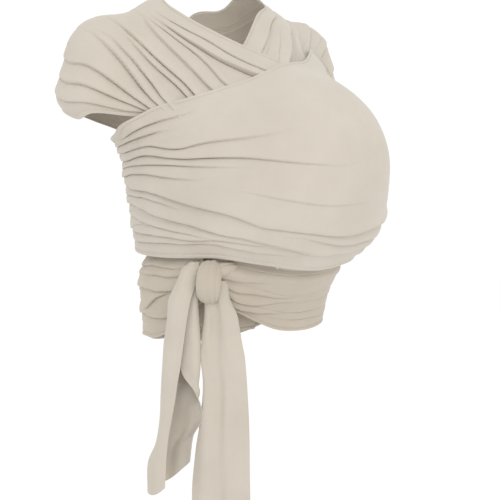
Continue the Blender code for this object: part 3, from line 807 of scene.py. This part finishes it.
WAIST_TUCK = 0.013
WAIST_FOLD_WIDTHS = (8.0, 2.6)
WAIST_MARKS = [0, 0.16, 0.28, 0.45, 0.58, 0.74, 0.86, 1.0]
UNDER_FOLDS = (((12.9, 0.33, 0.8), (13.5, 0.33, 3.0), (14, 0.33, 4.0), (15, 0.3, 3.0)),
               ((11.4, 0.5, 0.6), (13, 0.52, 2.4), (14, 0.55, 3.6), (15, 0.38, 2.6)),
               ((12.1, 0.58, 0.8), (13, 0.68, 3.4), (14, 0.72, 4.6), (15, 0.46, 3.4)),
               ((12.1, 0.75, 0.6), (13, 0.81, 3.4), (14, 0.86, 4.6), (15, 0.62, 3.4)))
OVER_FOLDS = (((7.6, 0.14, 1.6), (8.6, 0.16, 2.0), (9.6, 0.17, 2.2), (10.8, 0.2, 1.8)),
              ((7.6, 0.23, 1.2), (8.6, 0.25, 1.6), (9.6, 0.27, 1.8), (10.8, 0.31, 1.4)),
              ((7.6, 0.38, 2.2), (8.6, 0.4, 3.2), (9.6, 0.43, 3.8), (10.8, 0.48, 2.6)),
              ((8.3, 0.66, 1.0), (8.7, 0.63, 2.4), (9.5, 0.52, 3.0), (10.3, 0.49, 1.6)),
              ((7.6, 0.7, 1.6), (8.6, 0.73, 2.4), (9.6, 0.76, 2.8), (10.8, 0.83, 2.4)))
for name, upper, lower, levels, tall, seed, cells, nodes, flat, lines in (
        ("waist_loop_under", UNDER_UPPER, UNDER_LOWER, UNDER_LEVELS, UNDER_PLEATS, 21, (480, 120),
         ("waist_back_inner", "waist_front_left"), (0.11, 0.90), UNDER_FOLDS),
        ("waist_loop_over", OVER_UPPER, OVER_LOWER, OVER_LEVELS, OVER_PLEATS, 31, (380, 120),
         ("waist_back_outer", "waist_front_right"), (0.11, 0.75), OVER_FOLDS)):
    folds = Folds(seed)
    for line in lines:
        folds.add(line, *WAIST_FOLD_WIDTHS)
    loop = woven_band(name, upper, lower, levels, tall, WAIST_MARKS, seed, folds, cells, waist_jersey,
                      over_arm=False, tuck=WAIST_TUCK)
    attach(loop, "worn_cloth")
    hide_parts(*nodes)

# ------------ the knot
KNOT_OUT, KNOT_SIDE, KNOT_RISE = 0.014, 0.007, 0.005
knot_ray = lay_on_form([at(KNOT_ANGLE, KNOT_HEIGHT)], 0.0)[0]
ACROSS = np.array([0.7071, -0.7071, 0.0])
OUT = np.array([-0.7071, -0.7071, 0.0])
UP = np.array([0.0, 0.0, 1.0])
KNOT_CENTRE = knot_ray + KNOT_OUT * OUT + KNOT_SIDE * ACROSS + KNOT_RISE * UP


def knot_point(x, out, z):
    """A point in the knot's own directions: across the picture, out from the body, up. Millimetres."""
    x, out, z = np.asarray(x, float) / 1000, np.asarray(out, float) / 1000, np.asarray(z, float) / 1000
    return KNOT_CENTRE + x[..., None] * ACROSS + out[..., None] * OUT + z[..., None] * UP


# A bundle's cells along and round it, and the width of its UVs. Its ridges: their drifts round it, their
# twist and wave along it, the power that rounds them, how much their height varies, and their sink.
BUNDLE_CELLS = (90, 120)
BUNDLE_UV_WIDTH = 0.16
BUNCH_DRIFT = (0.35, 0.18)
BUNCH_TWIST = 0.6
BUNCH_WAVE = 0.16
BUNCH_POWER = 0.75
BUNCH_SWELL = 0.3
BUNCH_SINK = 0.6


def bundle(name, path, half_wide, half_deep, ridges, tall, seed, wide_way):
    """Bunched cloth swept along a path: an oval rope with long ridges and sharp valleys."""
    along, round_count = BUNDLE_CELLS[0] // COARSE, BUNDLE_CELLS[1] // COARSE
    path = np.asarray(path, float)
    places, length = even_places(path, along)
    spine = through(path, places)
    wide = through(np.asarray(half_wide, float), places)[:, 0] / 1000
    deep = through(np.asarray(half_deep, float), places)[:, 0] / 1000
    ahead = np.gradient(spine, axis=0)
    ahead /= np.linalg.norm(ahead, axis=-1, keepdims=True)
    side = np.broadcast_to(np.asarray(wide_way, float), ahead.shape)
    side = side - np.sum(side * ahead, axis=-1, keepdims=True) * ahead
    side /= np.linalg.norm(side, axis=-1, keepdims=True)
    over = np.cross(ahead, side)
    turn = np.linspace(0, 2 * math.pi, round_count + 1)
    rng = np.random.default_rng(seed)
    drift = BUNCH_DRIFT[0] * np.sin(turn + rng.uniform(0, 6))
    drift = drift + BUNCH_DRIFT[1] * np.sin(3 * turn + rng.uniform(0, 6))
    place_share = np.linspace(0, 1, along + 1)[:, None]
    phase = ridges * (turn[None, :] / (2 * math.pi)) + drift[None, :] + BUNCH_TWIST * place_share
    wave = np.sin(2 * math.pi * (1.3 * place_share + 0.4 * np.sin(turn)[None, :]) + seed)
    ridge = np.abs(np.sin(np.pi * (phase + BUNCH_WAVE * wave))) ** BUNCH_POWER
    swell = 1 - BUNCH_SWELL + BUNCH_SWELL * np.sin(2 * turn[None, :] + 3 * place_share + seed)
    scale = tall / 1000 * (swell * ridge - BUNCH_SINK)
    cos, sin = np.cos(turn)[None, :], np.sin(turn)[None, :]
    x, y = cos * wide[:, None], sin * deep[:, None]
    grid = spine[:, None, :] + (x + cos * scale)[..., None] * side[:, None, :]
    grid = grid + (y + sin * scale)[..., None] * over[:, None, :]
    return sheet_mesh(name, grid, waist_jersey, uv_size=(length, BUNDLE_UV_WIDTH), closed=True), length


# The turn that wraps the knot, the loop beside it on the far side, and the end under it on the near side.
# Each has a path, half widths and half depths in mm.
for name, path, wide, deep, ridges, tall, seed, wide_way, girth, nodes in (
        ("knot_turn_cloth", ([-2, -2, -3, -4, -5, -5, -4], [-8, 8, 16, 19, 15, 6, -6],
                             [22, 22, 14, 1, -11, -18, -20]),
         [9, 13, 15, 15.5, 14, 11, 7], [4, 7, 9, 10, 9, 7, 4], 5, 1.4, 4, ACROSS, 0.085, ["knot_turn"]),
        ("knot_side_loop", ([38, 30, 20, 10, 1, -6], [-16, -3, 5, 8, 7, 2], [20, 20, 19, 17, 13, 8]),
         [3, 6, 8, 9, 9, 7], [3, 5, 7, 8, 7, 6], 6, 1.8, 9, UP, 0.055, []),
        ("knot_near_end", ([-40, -28, -16, -6, 4], [-14, -6, 1, 4, 2], [8, 8, 7, 4, 0]),
         [12, 11, 10, 9, 8], [4, 5, 7, 8, 7], 6, 2.0, 15, UP, 0.065, ["knot_base"])):
    piece, length = bundle(name, knot_point(*path), wide, deep, ridges, tall, seed, wide_way)
    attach(piece, "worn_cloth")
    if nodes:
        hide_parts(*nodes)

# ------------ the tails
# How finely a tail's section is walked, where down the tail its rows begin to slant to the foot, and the
# strip at its edges where ripples fade.
SECTION_CELLS = 200
FOOT_FROM = 0.35
RIPPLE_FADE = 0.01


def tail_section(controls, share):
    """A smooth section through (x, out) points in millimetres, at evenly spaced shares of its length."""
    controls = np.asarray(controls, float)
    flat = np.column_stack([controls, np.zeros(len(controls))])
    places, _ = even_places(flat, SECTION_CELLS)
    walk = through(flat, places)[:, :2]
    steps = np.concatenate([[0], np.cumsum(np.linalg.norm(np.diff(walk, axis=0), axis=1))])
    wanted = share * steps[-1]
    section = [np.interp(wanted, steps, walk[:, 0]), np.interp(wanted, steps, walk[:, 1])]
    return np.column_stack(section), steps[-1]


def hanging_tail(heights, sections, foot, cells, seed, ripple):
    """Rows of points down a folded tail, from its sections at a few heights, with small ripples."""
    down, across = cells[0] // COARSE, cells[1] // COARSE
    share = np.linspace(0, 1, across + 1)
    rows, lengths = [], []
    for section in sections:
        row, length = tail_section(section, share)
        rows.append(row)
        lengths.append(length)
    rows = np.array(rows)
    depth = np.linspace(0, 1, down + 1)
    top, bottom = heights[0], heights[-1]
    z = top + (bottom - top) * depth
    places = np.interp(-z, -np.array(heights), np.arange(len(heights)))
    flat = through(rows.reshape(len(sections), -1), places).reshape(down + 1, across + 1, 2)
    foot_height = smooth_value(share, np.linspace(0, 1, len(foot)), foot)
    reach = ramp(depth, FOOT_FROM, 1.0)[:, None]
    height = z[:, None] + reach * (foot_height - bottom)[None, :]
    grid = knot_point(flat[..., 0], flat[..., 1], height)
    ripples = Ripples(seed)
    wave = ripples(depth[:, None] * 1.1, share[None, :] * 4.0)
    across_way = np.gradient(grid, axis=1)
    normal = np.cross(np.broadcast_to(UP, grid.shape), across_way)
    normal /= np.maximum(np.linalg.norm(normal, axis=-1, keepdims=True), 1e-9)
    edge = np.minimum(share, 1 - share)[None, :] * np.mean(lengths) / 1000
    grid = grid + normal * (ripple / 1000 * wave * ramp(edge, 0.0, RIPPLE_FADE))[..., None]
    return grid, edge


def tail_pieces(name, grid, edge, bodies, joints, nodes, split):
    """Splits a tail at one height into two pieces, which share the row at the cut."""
    across = grid.shape[1]
    heights = grid[:, across // 2, 2]
    cut = int(np.argmin(np.abs(heights - split)))
    parts = ((name + "_top", grid[:cut + 1], bodies[0], bodies[1], joints[0], nodes[0]),
             (name + "_end", grid[cut:], bodies[1], bodies[2], joints[1], nodes[1]))
    for part_name, rows, first, second, joint_height, node in parts:
        length = float(np.linalg.norm(np.diff(rows[:, across // 2], axis=0), axis=-1).sum())
        width = float(np.linalg.norm(np.diff(rows[rows.shape[0] // 2], axis=0), axis=-1).sum())
        piece = sheet_mesh(part_name, rows, tail_jersey, uv_size=(length, width), faces_out=OUT,
                           border=np.broadcast_to(edge, rows.shape[:2]))
        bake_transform(piece)
        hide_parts(node)


# The near tail is a folded tube. Its section starts at the front, runs round the outer side, the back and the
# inner side, and ends behind its own start. Towards the foot its two edges part.
NEAR_HEIGHTS = [26, 18, 4, -20, -48, -76, -106, -120, -140, -160, -187, -213, -250]
NEAR_SECTIONS = [
    [(-18, 1), (-21, 3), (-25, 3), (-28, -1), (-26, -5), (-24, -6),
     (-22, -5), (-20, -4), (-19, -3), (-18, -1)],
    [(-17, 7), (-25, 10), (-33, 9), (-38, 1), (-34, -5), (-26, -6),
     (-19, -4), (-15, 0), (-17, 4), (-23, 5)],
    [(-20, 9), (-28, 13), (-38, 11), (-44, 1), (-38, -6), (-28, -7),
     (-19, -4), (-15, 1), (-18, 5), (-25, 6)],
    [(-27, 13), (-36, 16), (-47, 13), (-55, 2), (-47, -6), (-34, -7),
     (-22, -4), (-18, 2), (-21, 7), (-29, 8)],
    [(-32, 15), (-42, 18), (-52, 15), (-58, 3), (-52, -7), (-38, -8),
     (-23, -5), (-17, 2), (-21, 8), (-33, 9)],
    [(-36, 15), (-45, 19), (-55, 16), (-62, 3), (-56, -8), (-40, -10),
     (-24, -6), (-16, 2), (-21, 9), (-37, 8)],
    [(-40, 16), (-49, 19), (-58, 16), (-64, 3), (-58, -8), (-42, -10),
     (-26, -7), (-17, 2), (-22, 9), (-40, 8)],
    [(-43, 16), (-51, 19), (-60, 15), (-65, 3), (-59, -8), (-45, -11),
     (-30, -8), (-19, 0), (-21, 8), (-37, 9)],
    [(-46, 16), (-54, 18), (-62, 14), (-66, 3), (-60, -8), (-48, -11),
     (-34, -9), (-22, -3), (-17, 4), (-25, 9)],
    [(-50, 15), (-57, 17), (-63, 13), (-67, 3), (-61, -8), (-50, -12),
     (-38, -10), (-28, -5), (-19, 1), (-17, 7)],
    [(-55, 15), (-62, 16), (-68, 12), (-72, 3), (-66, -8), (-54, -12),
     (-42, -10), (-31, -6), (-20, -1), (-13, 5)],
    [(-58, 15), (-66, 16), (-76, 12), (-82, 3), (-74, -8), (-60, -11),
     (-48, -9), (-39, -5), (-30, 0), (-25, 4)],
    [(-60, 13), (-70, 14), (-78, 10), (-83, 2), (-76, -7), (-62, -10),
     (-52, -9), (-44, -6), (-36, -3), (-30, 2)]]
NEAR_FOOT = [-258, -266, -268, -262, -256, -254, -246, -236, -226]
near_grid, near_edge = hanging_tail(NEAR_HEIGHTS, NEAR_SECTIONS, NEAR_FOOT, (150, 150), 41, 0.9)
tail_pieces("near_tail", near_grid, near_edge, ("worn_cloth", "right_tail_top", "right_tail_end"),
            (-0.35, -0.5), ("right_tail_upper", "right_tail_lower"), -0.425)

# The far tail hangs nearly flat, with soft folds down its front and both sides turned back.
FAR_HEIGHTS = [4, -18, -40, -64, -92, -130, -170, -210, -260, -322]
FAR_SECTIONS = [
    [(4, -5), (-6, -3), (-9, 3), (-4, 7), (2, 4), (8, 8), (14, 6), (17, 0), (12, -5)],
    [(4, -4), (-8, -2), (-10, 4), (-4, 8), (2, 5), (9, 9), (15, 8), (20, 2), (14, -4)],
    [(4, -4), (-8, -2), (-11, 4), (-5, 8), (2, 4), (11, 9), (22, 8), (30, 3), (20, -4)],
    [(2, -4), (-11, -2), (-14, 4), (-7, 8), (3, 4), (12, 9), (24, 8), (34, 3), (20, -4)],
    [(0, -4), (-12, -2), (-16, 4), (-7, 7), (4, 5), (14, 9), (27, 8), (39, 3), (22, -4)],
    [(-2, -5), (-10, -3), (-13, 3), (-6, 7), (6, 5), (17, 9), (30, 8), (42, 3), (26, -5)],
    [(-6, -6), (-14, -4), (-16, 2), (-8, 7), (6, 5), (18, 9), (31, 8), (44, 3), (28, -5)],
    [(-10, -7), (-22, -5), (-18, 2), (-9, 7), (6, 5), (18, 9), (32, 8), (45, 3), (28, -5)],
    [(-12, -7), (-27, -5), (-20, 2), (-9, 7), (6, 5), (19, 9), (33, 8), (46, 3), (28, -5)],
    [(-12, -7), (-28, -5), (-20, 2), (-9, 7), (6, 5), (19, 9), (34, 8), (48, 3), (28, -5)]]
FAR_FOOT = [-310, -316, -322, -326, -326, -324, -320, -316, -310]
far_grid, far_edge = hanging_tail(FAR_HEIGHTS, FAR_SECTIONS, FAR_FOOT, (170, 150), 43, 0.9)
tail_pieces("far_tail", far_grid, far_edge, ("worn_cloth", "left_tail_top", "left_tail_end"),
            (-0.404, -0.55), ("left_tail_upper", "left_tail_lower"), -0.477)
